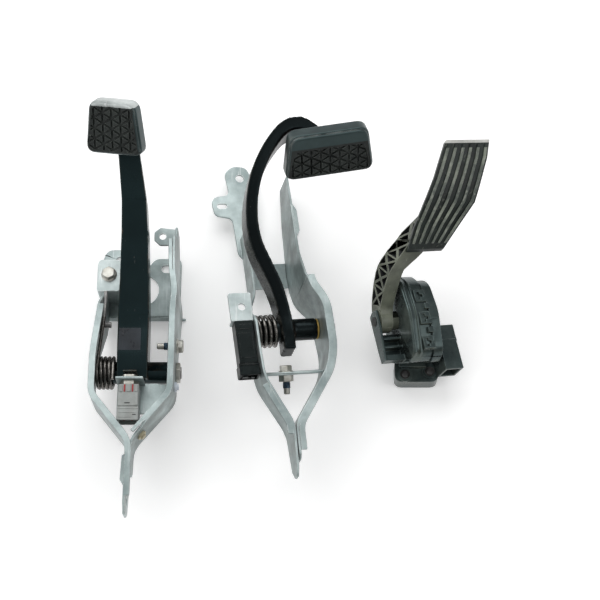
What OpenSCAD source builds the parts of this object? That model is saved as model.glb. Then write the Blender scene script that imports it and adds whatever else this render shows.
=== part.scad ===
// Pedal box: a clutch unit, a brake unit and an accelerator unit laid in a row.
// Row frame: X right along the row, Y from the brackets to the pads, Z up from the
// surface that the bulkhead sides lie on. Each unit has its own frame at its pivot.

/* [Layout] */
// place of the whole row, so that its box is centred over the origin
row_shift_x = 12.4; // [-60:0.1:60]
// place of the whole row along the pedals
row_shift_y = 23.4; // [-60:0.1:80]
// height of the clutch pivot over the surface
clutch_lift = 45; // [40:1:60]
// roll of the brake unit about its length
brake_roll = 12; // [0:1:20]
// turn of the brake unit on the surface
brake_turn = 8; // [-10:1:15]
// height of the brake pivot over the surface
brake_lift = 52.96; // [51:0.02:70]
// roll of the accelerator unit about its length
accel_roll = 20; // [10:1:26]
// turn of the accelerator unit on the surface
accel_turn = 12; // [4:1:16]
// height of the accelerator pivot over the surface
accel_lift = 48; // [48:1:60]

/* [Sheet metal] */
// thickness of the pressed bracket plates
sheet_t = 2.6; // [2:0.1:3]
// width of the turned front lip of the clutch plates
clutch_lip = 6.5; // [4:0.5:9]
// width of the turned lips of the brake plates
brake_lip = 8.5; // [5:0.5:10]
// half width of the clutch bracket over its plates
clutch_half_w = 41.5; // [40:0.5:46]
// half width of the brake bracket inside its plates
brake_half_w = 34; // [33:0.5:38]
// bulkhead bolt hole diameter
bolt_hole_d = 8.6; // [7:0.1:10]

/* [Pivots] */
// pivot bolt diameter of the clutch and brake
pivot_d = 12; // [10:0.5:14]
// outside diameter of the pedal hub tubes
hub_d = 22; // [20:0.5:24]
// wall of the plain bearing bushes
bush_wall = 2; // [1.5:0.1:2.5]
// radial clearance of a turning fit
fit_gap = 0.05; // [0.02:0.01:0.1]
// air between parts that move past each other
air = 0.6; // [0.4:0.1:1]

/* [Pads] */
// clutch pad width
clutch_pad_w = 60; // [50:1:66]
// clutch pad length
clutch_pad_h = 54; // [46:1:60]
// brake pad width
brake_pad_w = 90; // [82:1:96]
// brake pad length
brake_pad_h = 50; // [44:1:56]
// thickness of both pads at their sides
pad_t = 17; // [15:0.5:20]
// how much narrower a pad is at its top than at its foot
pad_taper = 12; // [4:1:16]
// smooth band above the tread of the brake pad
brake_band = 12; // [6:1:16]
// side of one tread triangle
tread_pitch = 10.8; // [9:0.1:13]
// width of a tread groove
groove_w = 1.8; // [1.2:0.1:2.4]
// depth of a tread groove
groove_d = 2.2; // [1.5:0.1:3]
// lean of the clutch pad face
clutch_pad_lean = 46; // [40:1:52]
// lean of the brake pad face
brake_pad_lean = 62; // [56:1:68]

/* [Springs] */
// wire diameter of the two torsion springs
spring_wire = 3.6; // [3:0.1:4]
// mean coil diameter of the two torsion springs
spring_coil_d = 30; // [28:0.5:32]
// coils of a torsion spring
spring_turns = 4; // [3:1:5]

/* [Accelerator] */
// width of the accelerator arm at its hub
accel_arm_w = 12; // [11:0.5:14]
// number of ribs on the accelerator tread
accel_ribs = 6; // [5:1:8]
// depth of a tread rib
accel_rib_h = 1.6; // [1:0.1:2.5]
// share of a lattice cell that its ribs take
accel_web = 0.28; // [0.2:0.02:0.44]
// bore of the steel sleeves in the foot
sleeve_bore_d = 7; // [6:0.1:8]
// housing wall thickness
wall = 3; // [2:0.1:3.5]

/* [Hidden] */
$fn = 48;
slice = 0.01;
zf = 33;
bush_bore = pivot_d + 2 * fit_gap;
bush_out = bush_bore + 2 * bush_wall;
clutch_in = clutch_half_w - sheet_t;
flange_t = 1.5;
plate_back = -13;
plate_t = 3.4;
clutch_tube = clutch_in - flange_t - air;
brake_tube = brake_half_w - flange_t - air - 0.4;
clutch_at = [-164 + row_shift_x, -72 + row_shift_y, clutch_lift];
brake_at = [-15 + row_shift_x, -30 + row_shift_y, brake_lift];
accel_at = [88 + row_shift_x, -18 + row_shift_y, accel_lift];

function unit(v) = v / norm(v);
function turned(v) = [-v[1], v[0]];
// corner point of a polyline set off sideways by d
function mitre(p, i, d) =
  let (n = len(p) - 1,
       a = i > 0 ? unit(p[i] - p[i - 1]) : unit(p[1] - p[0]),
       b = i < n ? unit(p[i + 1] - p[i]) : unit(p[n] - p[n - 1]),
       m = unit(turned(a) + turned(b)))
  p[i] + m * d / (m * turned(a));
function shifted(p, d) = [for (i = [0 : len(p) - 1]) mitre(p, i, d)];
// closed outline between two side lines of a polyline
function band(p, d0, d1) =
  let (a = shifted(p, d0), b = shifted(p, d1), n = len(p) - 1)
  concat(a, [for (i = [n : -1 : 0]) b[i]]);
// point on the curve that rounds corner i with tangent length t
function bend_point(p, i, t, s) =
  let (a = unit(p[i - 1] - p[i]),
       b = unit(p[i + 1] - p[i]),
       u = min(t, norm(p[i - 1] - p[i]) * 0.45),
       w = min(t, norm(p[i + 1] - p[i]) * 0.45))
  p[i] + a * u * (1 - s) * (1 - s) + b * w * s * s;
function soft(p, t, n = 4) = concat(
  [p[0]],
  [for (i = [1 : len(p) - 2]) for (k = [0 : n]) bend_point(p, i, t, k / n)],
  [p[len(p) - 1]]);

// flat outline in Y and Z drawn along X
module along_x(x0, x1) {
  translate([x0, 0, 0])
    rotate([90, 0, 90])
      linear_extrude(x1 - x0) children();
}

// flat outline in X and Y drawn along Z
module along_z(z0, z1) {
  translate([0, 0, z0])
    linear_extrude(z1 - z0) children();
}

// round bar along X
module rod_x(r, x0, x1) {
  translate([x0, 0, 0])
    rotate([0, 90, 0])
      cylinder(r = r, h = x1 - x0);
}

module in_clutch() {
  translate(clutch_at) children();
}

module in_brake() {
  translate(brake_at)
    rotate([0, brake_roll, brake_turn]) children();
}

module in_accel() {
  translate(accel_at)
    rotate([0, accel_roll, accel_turn]) children();
}

// pressed sheet that follows a line in plan and is cut to a side outline
module web(path, d0, d1, profile) {
  intersection() {
    along_z(-70, 70) polygon(band(path, d0, d1));
    along_x(-90, 90) polygon(profile);
  }
}

// block with rounded corners: w wide at its foot, narrower by the taper at its top, h high
module slab(w, h, c, z0, z1) {
  top = w - pad_taper;
  along_z(z0, z1)
    polygon(soft([[0, -h / 2], [w / 2, -h / 2], [top / 2, h / 2], [-top / 2, h / 2], [-w / 2, -h / 2],
      [0, -h / 2]], c, 6));
}

// hexagon flange screw along Z: underside of its flange at zero, shank downwards
module flange_screw(d, long, af) {
  translate([0, 0, -long]) cylinder(d = d, h = long + slice);
  cylinder(d = af * 1.32, h = 1.6);
  cylinder(d = af / cos(30), h = d * 0.8, $fn = 6);
}

// plain hexagon nut along Z with its lower face at zero
module hex_nut(d, af, h) {
  difference() {
    cylinder(d = af / cos(30), h = h, $fn = 6);
    translate([0, 0, -1]) cylinder(d = d, h = h + 2);
  }
}

// round wire along a list of points that keeps clear of the X direction
module wire(path, r, k = 8) {
  n = len(path) - 1;
  rings = [for (i = [0 : n])
    let (t = unit(path[min(i + 1, n)] - path[max(i - 1, 0)]),
         u = unit(cross(t, [1, 0, 0])),
         v = cross(t, u))
    for (j = [0 : k - 1])
      path[i] + r * (cos(360 * j / k) * u + sin(360 * j / k) * v)];
  sides = [for (i = [0 : n - 1]) for (j = [0 : k - 1])
    [i * k + j, i * k + (j + 1) % k, (i + 1) * k + (j + 1) % k, (i + 1) * k + j]];
  ends = [[for (j = [k - 1 : -1 : 0]) j], [for (j = [0 : k - 1]) n * k + j]];
  polyhedron(rings, concat(sides, ends));
}

function coil(r, x0, x1, turns, start) =
  [for (i = [0 : 18 * turns])
    let (a = start + i * 20)
    [x0 + (x1 - x0) * i / (18 * turns), r * cos(a), r * sin(a)]];

// CLUTCH UNIT
clutch_tip = [-3, -150];
clutch_join = -3 + 2 * sheet_t;
clutch_run = unit([clutch_half_w, -30] - [clutch_join, -78]);
clutch_clip_at = [clutch_join, -78] + 13 * clutch_run;
clutch_clip_turn = atan2(-clutch_run[0], clutch_run[1]);
clutch_left = soft([clutch_tip, [-3, -80], [-clutch_half_w, -32], [-clutch_half_w, 12],
  [-35.5, 64], [-35.5, 90]], 9);
clutch_left_lip = soft([[-3, -133], [-3, -80], [-clutch_half_w, -32], [-clutch_half_w, 12],
  [-35.8, 62]], 9);
clutch_right = soft([[clutch_join, -108], [clutch_join, -78], [clutch_half_w, -30],
  [clutch_half_w, 60], [clutch_half_w + 1.5, 78], [clutch_half_w - 2, 100],
  [clutch_half_w - 3, 158]], 9);
clutch_right_lip = soft([[clutch_join, -78] + 7 * clutch_run, [clutch_half_w, -30], [clutch_half_w, 60],
  [clutch_half_w + 1.5, 78], [clutch_half_w - 2, 100], [clutch_half_w - 3, 132]], 9);
clutch_floor = -clutch_lift;
clutch_pad_at = [-20, 213.5, 110];
clutch_pad_roll = -16;

module clutch_pad_frame() {
  translate(clutch_pad_at)
    rotate([clutch_pad_lean, 0, 0])
      rotate([0, clutch_pad_roll, 0]) children();
}

module clutch_left_plate() {
  color([0.62, 0.66, 0.68])
    in_clutch()
      difference() {
        union() {
          web(clutch_left, 0, -sheet_t,
            [[-150, 14], [-146, 8], [-128, 2], [-80, -7], [-32, -9], [20, -20], [56, clutch_floor + 3],
             [90, clutch_floor + 3], [90, -8], [66, zf - 4], [60, zf], [-140, zf], [-150, zf - 6]]);
          along_z(zf - sheet_t, zf) polygon(band(clutch_left_lip, -sheet_t + slice, -clutch_lip));
          along_z(-4, -4 + sheet_t)
            polygon([[-2.9, -80], [-9.5, -84], [-10.5, -108], [-7, -114], [-2.9, -114]]);
        }
        rod_x(pivot_d / 2 + 0.1, -60, 0);
        translate([0, -136, 19]) rod_x(bolt_hole_d / 2, -20, 20);
      }
}

module clutch_right_plate() {
  color([0.64, 0.68, 0.70])
    in_clutch()
      difference() {
        union() {
          web(clutch_right, sheet_t, 0,
            [[-108, 4], [-104, -2], [-76, -7], [-30, -9], [20, -20], [56, clutch_floor + 3],
             [128, clutch_floor + 3], [140, -30], [158, -22], [158, 2], [142, 6], [138, zf - 4], [132, zf],
             [-58, zf], [-66, zf - 4], [-108, zf - 8]]);
          along_z(zf - sheet_t, zf) polygon(band(clutch_right_lip, sheet_t - slice, clutch_lip));
          along_z(-6, -6 + sheet_t)
            polygon([[clutch_half_w - 5, 140], [20, 140], [14, 146], [14, 155], [20, 160],
              [clutch_half_w - 5, 158]]);
        }
        rod_x(pivot_d / 2 + 0.1, 0, 60);
        translate([0, 27, 3]) rod_x(4.1, 0, 60);
        translate([22.8, 150, -20]) cylinder(d = 7, h = 40);
        translate([0, -20, 15]) rod_x(3.1, 20, 60);
        translate([clutch_clip_at[0], clutch_clip_at[1], 14])
          rotate([0, 90, clutch_clip_turn])
            translate([0, 0, -6]) cylinder(r = 3.1, h = 9);
      }
}

module clutch_bulkhead_plate() {
  color([0.66, 0.70, 0.72])
    in_clutch()
      difference() {
        union() {
          along_z(clutch_floor, clutch_floor + 3)
            polygon(soft([[0, 72], [40, 72], [40, 142], [12, 142], [6, 132], [-10, 132], [-12, 152],
              [-38, 152], [-43, 140], [-43, 72], [0, 72]], 7));
          translate([0, 72, clutch_floor])
            along_z(0, 10) polygon([[-46, 0], [46, 0], [46, sheet_t], [-46, sheet_t]]);
        }
        along_z(clutch_floor + 3, 40) polygon(band(clutch_left, 30, -sheet_t));
        along_z(clutch_floor + 3, 40) polygon(band(clutch_right, sheet_t, -30));
        translate([0, 106, clutch_floor - 1]) cylinder(r = 17, h = 10);
        translate([-25, 140, clutch_floor - 1]) cylinder(d = bolt_hole_d, h = 10);
        translate([26, 130, clutch_floor - 1]) {
          translate([-3, 0, 0]) cylinder(d = bolt_hole_d, h = 10);
          translate([3, 0, 0]) cylinder(d = bolt_hole_d, h = 10);
          translate([-3, -bolt_hole_d / 2, 0]) cube([6, bolt_hole_d, 10]);
        }
      }
}

// raised pressed seat on the left that the bulkhead screw clamps
module clutch_screw_seat() {
  top = -6;
  color([0.60, 0.64, 0.66])
    in_clutch()
      difference() {
        along_z(clutch_floor + 3, top) polygon(soft([[-30, 90], [-20, 90], [-19, 122], [-22, 125],
          [-40, 125], [-43, 122], [-43, 90], [-30, 90]], 4));
        along_z(clutch_floor + 2, top - sheet_t)
          polygon([[-40.4, 93.6], [-21.6, 93.6], [-21.6, 122.4], [-40.4, 122.4]]);
        translate([-31, 108.5, top - 10]) cylinder(d = 8.2, h = 20);
      }
}

module clutch_seat_screw() {
  color([0.72, 0.72, 0.68])
    in_clutch()
      translate([-31, 108.5, -6]) flange_screw(8, 24, 12);
}

module clutch_pivot_bolt() {
  color([0.55, 0.55, 0.54])
    in_clutch() {
      rod_x(pivot_d / 2, -clutch_half_w - slice, clutch_half_w + 5);
      translate([-clutch_half_w - 2.6, 0, 0]) rod_x(9.5, 0, 2.6);
    }
}

module clutch_pivot_nut() {
  color([0.70, 0.69, 0.62])
    in_clutch()
      translate([clutch_half_w, 0, 0])
        rotate([0, 90, 0]) hex_nut(pivot_d, 18, 4);
}

// front line and rear line of the folded arm seen from its side
clutch_arm_front = [[-9.5, 13], [8, 19], [46, 21], [90, 31], [134, 47], [163, 59], [200, 71], [213, 84],
  [229, 110]];
clutch_arm_back = [[238, 96], [224, 73], [202, 50], [163, 36], [134, 22], [90, 7], [46, -4], [8, -10],
  [-9.5, -9]];

module clutch_arm_plan(grow) {
  polygon([[-16 + grow, -14], [-16.5 + grow, 52], [-13.9 + grow, 134], [-13.7 + grow, 163], [-20 + grow, 240],
    [-1 - grow, 240], [11 - grow, 163], [12.4 - grow, 134], [14.3 - grow, 52], [14.2 - grow, -14]]);
}

module clutch_arm() {
  color([0.06, 0.06, 0.07])
    in_clutch()
      difference() {
        union() {
          difference() {
            intersection() {
              along_z(-60, 160) clutch_arm_plan(0);
              along_x(-40, 40) polygon(concat(soft(clutch_arm_front, 8), clutch_arm_back));
            }
            intersection() {
              along_z(-60, 160) clutch_arm_plan(sheet_t);
              translate([0, 0, -sheet_t])
                along_x(-40, 40)
                  polygon(concat(soft(clutch_arm_front, 8), [[260, 60], [134, -30], [-20, -60]]));
            }
          }
          rod_x(hub_d / 2, -clutch_tube, clutch_tube);
          translate([-8, -9.5, 6]) cube([13, sheet_t, 25]);
        }
        rod_x(bush_out / 2, -60, 60);
        clutch_pad_frame() pad_room(clutch_pad_w, clutch_pad_h);
      }
}

// room that a pad and its plate take from the end of an arm
module pad_room(w, h) {
  difference() {
    slab(w + 1, h + 1, 10, -pad_t - 0.3, 20);
    slab(w - 21, h - 21, 5, -pad_t - 1, plate_back);
  }
}

module flanged_bush(end) {
  difference() {
    union() {
      rod_x(bush_out / 2, end - 20, end + slice);
      translate([end, 0, 0]) rod_x(hub_d / 2 - 0.5, 0, flange_t);
    }
    rod_x(bush_bore / 2, end - 40, end + 20);
  }
}

module clutch_bushes() {
  color([0.80, 0.76, 0.62])
    in_clutch() {
      flanged_bush(clutch_tube);
      mirror([1, 0, 0]) flanged_bush(clutch_tube);
    }
}

module pad_plate(w, h) {
  slab(w - 11, h - 11, 7, plate_back, plate_back + plate_t);
}

// moulded pad: lip wrapped round its steel plate, triangle tread in front
module pad_rubber(w, h, smooth) {
  difference() {
    union() {
      slab(w, h, 10, -pad_t, -3);
      slab(w - 3, h - 3, 9, -3 - slice, 0);
    }
    slab(w - 11, h - 11, 7, plate_back, plate_back + plate_t);
    slab(w - 20, h - 20, 5, -pad_t - 1, plate_back + slice);
    intersection() {
      translate([0, -smooth / 2, 0]) slab(w - 9, h - 9 - smooth, 6, -groove_d, 2);
      for (a = [0, 60, 120]) rotate([0, 0, a])
        for (i = [-7 : 7])
          translate([i * tread_pitch * cos(30) - groove_w / 2, -80, -groove_d - 1]) cube([groove_w, 160, 6]);
    }
  }
}

module clutch_pad_plate() {
  color([0.10, 0.10, 0.11])
    in_clutch() clutch_pad_frame() pad_plate(clutch_pad_w, clutch_pad_h);
}

module clutch_pad_rubber() {
  color([0.10, 0.11, 0.11])
    in_clutch() clutch_pad_frame() pad_rubber(clutch_pad_w, clutch_pad_h, 0);
}

module clutch_return_spring() {
  r = spring_coil_d / 2;
  x0 = -clutch_in + spring_wire / 2 + 1.2;
  x1 = -16.5 - spring_wire / 2 - 1.5;
  color([0.25, 0.24, 0.23])
    in_clutch()
      wire(concat([[-31, 54, 15], [-34, 22, 15.2]], coil(r, x0, x1, spring_turns, 90),
        [[x1, -3, r + 0.3], [x1, -12, r + 1]]), spring_wire / 2);
}

// strip with a pin that holds the fixed leg of the return spring
module clutch_spring_anchor() {
  color([0.30, 0.30, 0.30])
    in_clutch()
      difference() {
        union() {
          translate([0, 47, 10]) rod_x(3, -38, -24);
          along_z(0, 10) polygon([[-38, 40], [-31.4, 40], [-30.2, 84], [-38, 84]]);
        }
        along_z(-70, 70) polygon(band(clutch_left, 20, -sheet_t));
      }
}

module clutch_stop_screw() {
  color([0.62, 0.62, 0.60])
    in_clutch()
      translate([clutch_half_w, 27, 3])
        rotate([0, 90, 0]) flange_screw(8, 20, 12);
}

// angle bracket on the right plate: base facing forward and an upright with the switch hole
module clutch_switch_bracket() {
  color([0.58, 0.60, 0.60])
    in_clutch()
      difference() {
        union() {
          along_z(8, 8 + sheet_t)
            polygon([[-15, -46], [20, -46], [clutch_half_w - 12, -38], [clutch_in - 2, -28], [clutch_in, -16],
              [24, -14.6], [-15, -14.6]]);
          along_z(8, 33) polygon([[-15, -17.2], [12, -17.2], [12, -14.6], [-15, -14.6]]);
          along_z(8, 26) polygon([[clutch_in - sheet_t, -26], [clutch_in, -26], [clutch_in, -16],
            [clutch_in - sheet_t, -16]]);
        }
        translate([-2, 0, 21]) rotate([90, 0, 0]) cylinder(r = 6.1, h = 60);
        along_z(-70, 70) polygon(band(clutch_right, sheet_t, -30));
      }
}

// switch with a threaded neck along Y and a boxed connector below
module clutch_switch_body() {
  color([0.68, 0.70, 0.70])
    in_clutch()
      translate([-2, 0, 21])
        difference() {
          union() {
            translate([0, -11, 0]) rotate([90, 0, 0]) cylinder(r = 6, h = 14);
            translate([-10, -44, -10]) cube([20, 22, 20]);
            translate([-10.5, -58, -8]) cube([21, 14 + slice, 17]);
          }
          translate([0, 1, 0]) rotate([90, 0, 0]) cylinder(r = 2.6, h = 26);
          translate([-8.5, -59, -6]) cube([17, 11, 13]);
        }
}

module clutch_switch_terminals() {
  color([0.62, 0.12, 0.10])
    in_clutch()
      translate([-2, 0, 21])
        for (sx = [-4, 4])
          translate([sx - 1, -56, -0.4]) cube([2, 8, 0.8]);
}

module clutch_switch_nuts() {
  color([0.72, 0.66, 0.40])
    in_clutch()
      translate([-2, 0, 21]) {
        translate([0, -17.2, 0]) rotate([90, 0, 0]) hex_nut(12, 17, 4.6);
        translate([0, -11.4, 0]) rotate([90, 0, 0]) hex_nut(12, 17, 3.2);
      }
}

module clutch_switch_plunger() {
  color([0.82, 0.76, 0.52])
    in_clutch()
      translate([-2, -9.8, 21])
        rotate([90, 0, 0]) cylinder(r = 2.6 - fit_gap, h = 11);
}

module push_clip() {
  cylinder(d = 10, h = 2);
  translate([0, 0, 0.2 - sheet_t]) cylinder(d = 5.8, h = sheet_t);
  translate([0, 0, 2 - slice]) cylinder(d = 6, h = 2);
}

module clutch_side_clip() {
  color([0.80, 0.84, 0.86])
    in_clutch()
      translate([clutch_half_w, -20, 15]) rotate([0, 90, 0]) push_clip();
}

module clutch_tail_clip() {
  color([0.84, 0.80, 0.66])
    in_clutch()
      translate([clutch_clip_at[0], clutch_clip_at[1], 14])
        rotate([0, 90, clutch_clip_turn]) push_clip();
}

// BRAKE UNIT
brake_left = soft([[-14, -159], [-11, -107], [-33, -58], [-brake_half_w, -32], [-brake_half_w, 16],
  [-20, 48], [-20, 122]], 9);
brake_left_lip = soft([[-11.6, -118], [-11, -107], [-30.4, -63.8]], 9);
brake_right = soft([[-12, -143], [-10.9, -107], [28, -52], [brake_half_w, -30], [brake_half_w, 16],
  [22, 38], [21, 80], [24, 136], [28, 178]], 9);
brake_right_lip = soft([[-11.6, -134], [-10.9, -107], [28, -52], [brake_half_w, -30], [brake_half_w, 16],
  [22, 38], [21.8, 46]], 9);
brake_back = -45;
brake_switch_z = 18;
brake_switch_x = -brake_half_w - 13;
brake_strap_lean = 22;
brake_pad_at = [41.5, 136, 112];
brake_arm_line = soft([[0, -24], [1, 0], [-8, 33], [-20, 54], [-31, 74], [-35, 100], [-30, 128],
  [-17, 152], [2, 172], [22, 174], [50, 147]], 30);
brake_arm_front = [[-24, 13], [0, 14], [33, 32], [74, 58], [100, 74], [128, 90], [150, 102], [165, 110],
  [186, 118]];
brake_arm_back = [[186, 91], [150, 76], [128, 64], [100, 47], [74, 30], [33, 5], [0, -13], [-24, -12]];

module brake_pad_frame() {
  translate(brake_pad_at)
    rotate([brake_pad_lean, 0, 0])
      rotate([0, 0, 8]) children();
}

module brake_left_plate() {
  color([0.62, 0.66, 0.68])
    in_brake()
      difference() {
        union() {
          web(brake_left, 0, sheet_t,
            [[-159, 20], [-150, 10], [-107, -4], [-56, -9], [20, -26], [60, brake_back], [122, brake_back],
             [122, -14], [32, -14], [6, 28], [0, zf], [-150, zf], [-159, 28]]);
          along_z(zf - sheet_t, zf) polygon(band(brake_left_lip, sheet_t - slice, brake_lip));
          along_z(brake_back, brake_back + sheet_t)
            polygon(soft([[-20.1, 96], [-27, 104], [-28, 146], [-46, 150], [-48, 166], [-44, 172], [-28, 174],
              [-30, 200], [-20, 208], [-6, 206], [0, 190], [-2, 122], [-20.1, 96]], 5));
        }
        rod_x(pivot_d / 2 + 0.1, -60, 0);
        translate([-14, 193, brake_back - 1]) cylinder(d = bolt_hole_d, h = 10);
        translate([-14, 137, brake_back - 1]) cylinder(d = bolt_hole_d, h = 10);
        translate([-37, 161, brake_back - 1]) {
          translate([-2.5, 0, 0]) cylinder(d = 6, h = 10);
          translate([2.5, 0, 0]) cylinder(d = 6, h = 10);
          translate([-2.5, -3, 0]) cube([5, 6, 10]);
        }
      }
}

module brake_right_plate() {
  color([0.64, 0.68, 0.70])
    in_brake()
      difference() {
        union() {
          web(brake_right, 0, -sheet_t,
            [[-143, 16], [-138, 10], [-107, -4], [-56, -9], [20, -26], [60, brake_back], [178, brake_back],
             [178, -12], [136, 4], [80, 14], [50, zf - 6], [44, zf], [-138, zf], [-143, 28]]);
          along_z(zf - sheet_t, zf) polygon(band(brake_right_lip, -sheet_t + slice, -brake_lip));
          along_z(brake_back, brake_back + sheet_t)
            polygon([[24, 120], [40, 124], [43, 130], [43, 154], [34, 172], [28, 178]]);
        }
        rod_x(pivot_d / 2 + 0.1, 0, 60);
        translate([35, 142, brake_back - 1]) cylinder(d = bolt_hole_d, h = 10);
      }
}

// low tie between the two plates behind the arm
module brake_bridge() {
  color([0.58, 0.62, 0.64])
    in_brake()
      difference() {
        along_z(brake_back, brake_back + sheet_t)
          polygon([[-30, 64], [30, 64], [30, 92], [-30, 92]]);
        along_z(-70, 70) polygon(band(brake_left, 0, 30));
        along_z(-70, 70) polygon(band(brake_right, 0, -30));
      }
}

module brake_pivot_bolt() {
  end = brake_half_w + sheet_t;
  color([0.50, 0.50, 0.49])
    in_brake() {
      rod_x(pivot_d / 2, -end - slice, end + 14);
      translate([-end - 1.8, 0, 0]) rod_x(11, 0, 1.8);
      translate([-end - 8.5, 0, 0])
        rotate([0, 90, 0]) cylinder(d = 17 / cos(30), h = 6.8, $fn = 6);
    }
}

module brake_pivot_nut() {
  color([0.70, 0.69, 0.62])
    in_brake()
      translate([brake_half_w + sheet_t, 0, 0])
        rotate([0, 90, 0]) hex_nut(pivot_d, 17, 9);
}

module brake_arm() {
  color([0.05, 0.05, 0.06])
    in_brake()
      difference() {
        union() {
          intersection() {
            along_z(-60, 160) polygon(band(brake_arm_line, -6, 6));
            along_x(-80, 80) polygon(concat(soft(brake_arm_front, 30), soft(brake_arm_back, 30)));
          }
          rod_x(hub_d / 2, -brake_tube, brake_tube);
        }
        rod_x(bush_out / 2, -60, 60);
        brake_pad_frame() pad_room(brake_pad_w, brake_pad_h);
      }
}

module brake_bushes() {
  color([0.74, 0.58, 0.26])
    in_brake() {
      flanged_bush(brake_tube);
      mirror([1, 0, 0]) flanged_bush(brake_tube);
    }
}

module brake_pad_plate() {
  color([0.10, 0.10, 0.11])
    in_brake() brake_pad_frame() pad_plate(brake_pad_w, brake_pad_h);
}

module brake_pad_rubber() {
  color([0.09, 0.10, 0.10])
    in_brake() brake_pad_frame() pad_rubber(brake_pad_w, brake_pad_h, brake_band);
}

module brake_return_spring() {
  r = spring_coil_d / 2;
  x0 = -brake_half_w + spring_wire / 2 + 1.2;
  x1 = -6 - spring_wire / 2 - 2.5;
  color([0.50, 0.49, 0.46])
    in_brake()
      wire(concat([[x0 - 1.1, -28, -r + 2], [x0 - 1.1, -14, -r]], coil(r, x0, x1, spring_turns, 270),
        [[x1, 10, -r], [x1, 22, -r + 4]]), spring_wire / 2);
}

module brake_strap_frame() {
  translate([-9, -49, 15])
    rotate([brake_strap_lean, 0, 0]) children();
}

module brake_cross_strap() {
  color([0.50, 0.52, 0.52])
    in_brake()
      difference() {
        brake_strap_frame()
          difference() {
            translate([-40, -3, -11]) cube([94, 3, 22]);
            rotate([90, 0, 0]) cylinder(r = 4.1, h = 40, center = true);
          }
        along_z(-70, 70) polygon(band(brake_left, 0, 30));
        along_z(-70, 70) polygon(band(brake_right, 0, -30));
      }
}

module brake_strap_screw() {
  color([0.42, 0.42, 0.42])
    in_brake()
      brake_strap_frame() rotate([-90, 0, 0]) flange_screw(8, 22, 11);
}

module brake_strap_nut() {
  color([0.60, 0.58, 0.50])
    in_brake()
      brake_strap_frame()
        translate([0, -9.5, 0]) rotate([-90, 0, 0]) hex_nut(8, 13, 6.5);
}

// tab with a round hole, folded to a shelf that carries the stop lamp switch
module brake_switch_bracket() {
  color([0.72, 0.75, 0.76])
    in_brake()
      difference() {
        union() {
          translate([brake_switch_x, 0, 0]) {
            along_z(24, 24 + sheet_t)
              polygon(soft([[2, 2], [11, 2], [11, 32], [-12, 32], [-12, 2], [2, 2]], 3));
            along_z(11, 24 + sheet_t) polygon([[-11, 2], [11, 2], [11, 2 + sheet_t], [-11, 2 + sheet_t]]);
          }
        }
        along_z(-70, 70) polygon(band(brake_left, sheet_t, -30));
        translate([brake_switch_x + 0.5, 17, 0]) cylinder(d = 7.4, h = 30);
        translate([brake_switch_x, 30, brake_switch_z]) rotate([90, 0, 0]) cylinder(r = 3.2, h = 40);
      }
}

module brake_switch_body() {
  color([0.05, 0.05, 0.05])
    in_brake()
      translate([brake_switch_x, 0, brake_switch_z])
        difference() {
          union() {
            translate([-9, -42, -6.5]) cube([18, 44, 16.5]);
            translate([-10, -54, -6]) cube([20, 12 + slice, 15]);
            translate([0, 5.6, 0]) rotate([90, 0, 0]) cylinder(r = 3.1, h = 8);
          }
          translate([0, 20, 0]) rotate([90, 0, 0]) cylinder(r = 2, h = 40);
          translate([-8, -55, -5]) cube([16, 9, 12]);
        }
}

module brake_switch_plunger() {
  color([0.86, 0.86, 0.82])
    in_brake()
      translate([brake_switch_x, 9, brake_switch_z])
        rotate([90, 0, 0]) cylinder(r = 2 - fit_gap, h = 20);
}

// ACCELERATOR UNIT
shaft_r = 5;
rotor_r = 9;
rotor_x = 26;
shell_x = 8;
cover_x = 30;
cap_x = 40;
cheek_t = 2.4;
cheek_x = -accel_arm_w - air - cheek_t;
arm_front = [[10, 14], [21, 27], [32, 42], [40, 57], [52, 70.5], [64, 82], [76, 93]];
arm_back = [[20, -4], [38, 10], [51, 24], [58, 38], [66, 51], [78, 65], [90, 77]];
// left and right edges of the arm seen along its depth: X, then distance along the arm
arm_left = [[0.5 - accel_arm_w, -20], [0.5 - accel_arm_w, 20], [-10, 46], [-7, 60], [-3, 70], [3, 80],
  [9, 90], [22, 104], [30, 112]];
arm_right = [[0, -20], [0, 0], [3, 20], [5, 42], [7, 57], [14, 66], [23, 75.5], [36, 94], [44, 112]];
tread_line = soft([[44, 62.5], [84, 100], [136, 134]], 12);
// tread edges: Y, left X and right X
tread_edge = [[45, 4, 43.5], [62, 8.5, 58], [79, 16.5, 73], [101, 27.3, 80.5], [115, 32.6, 85],
  [130, 38.4, 87]];
shell = soft([[-36, -26], [36, -26], [43, -10], [43, 14], [29, 28], [-6, 32], [-44, 22], [-50, 10],
  [-48, 4]], 8);
shell_in = [[-34, -23], [29.4, -23], [34, -9.3], [34, 13.6], [25, 24.4], [-6, 28.8], [-42.3, 19.3],
  [-46.7, 9.4], [-45, 4.6]];
cap = soft([[-36, -26], [31, -26], [37, -10], [37, 16], [26, 30], [-6, 34.6], [-45, 24.6], [-52, 11],
  [-49, 4]], 8);
foot_holes = [[106, -64.5], [131, -61.5]];

function inset(a, b, c, k) = let (m = (a + b + c) / 3) [a + (m - a) * k, b + (m - b) * k, c + (m - c) * k];

// open lattice of crossed ribs between the front and rear walls of the arm
module arm_pockets() {
  for (i = [0 : len(arm_front) - 2]) {
    a = arm_front[i];
    b = arm_front[i + 1];
    c = arm_back[i + 1];
    d = arm_back[i];
    m = (a + b + c + d) / 4;
    polygon(inset(a, b, m, accel_web));
    polygon(inset(b, c, m, accel_web));
    polygon(inset(c, d, m, accel_web));
    polygon(inset(d, a, m, accel_web));
  }
}

// block between a left and a right edge, drawn along the depth of the arm
module arm_plan(left, right) {
  n = len(right) - 1;
  rotate([45, 0, 0])
    along_z(-60, 60) polygon(concat(left, [for (i = [n : -1 : 0]) right[i]]));
}

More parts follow.
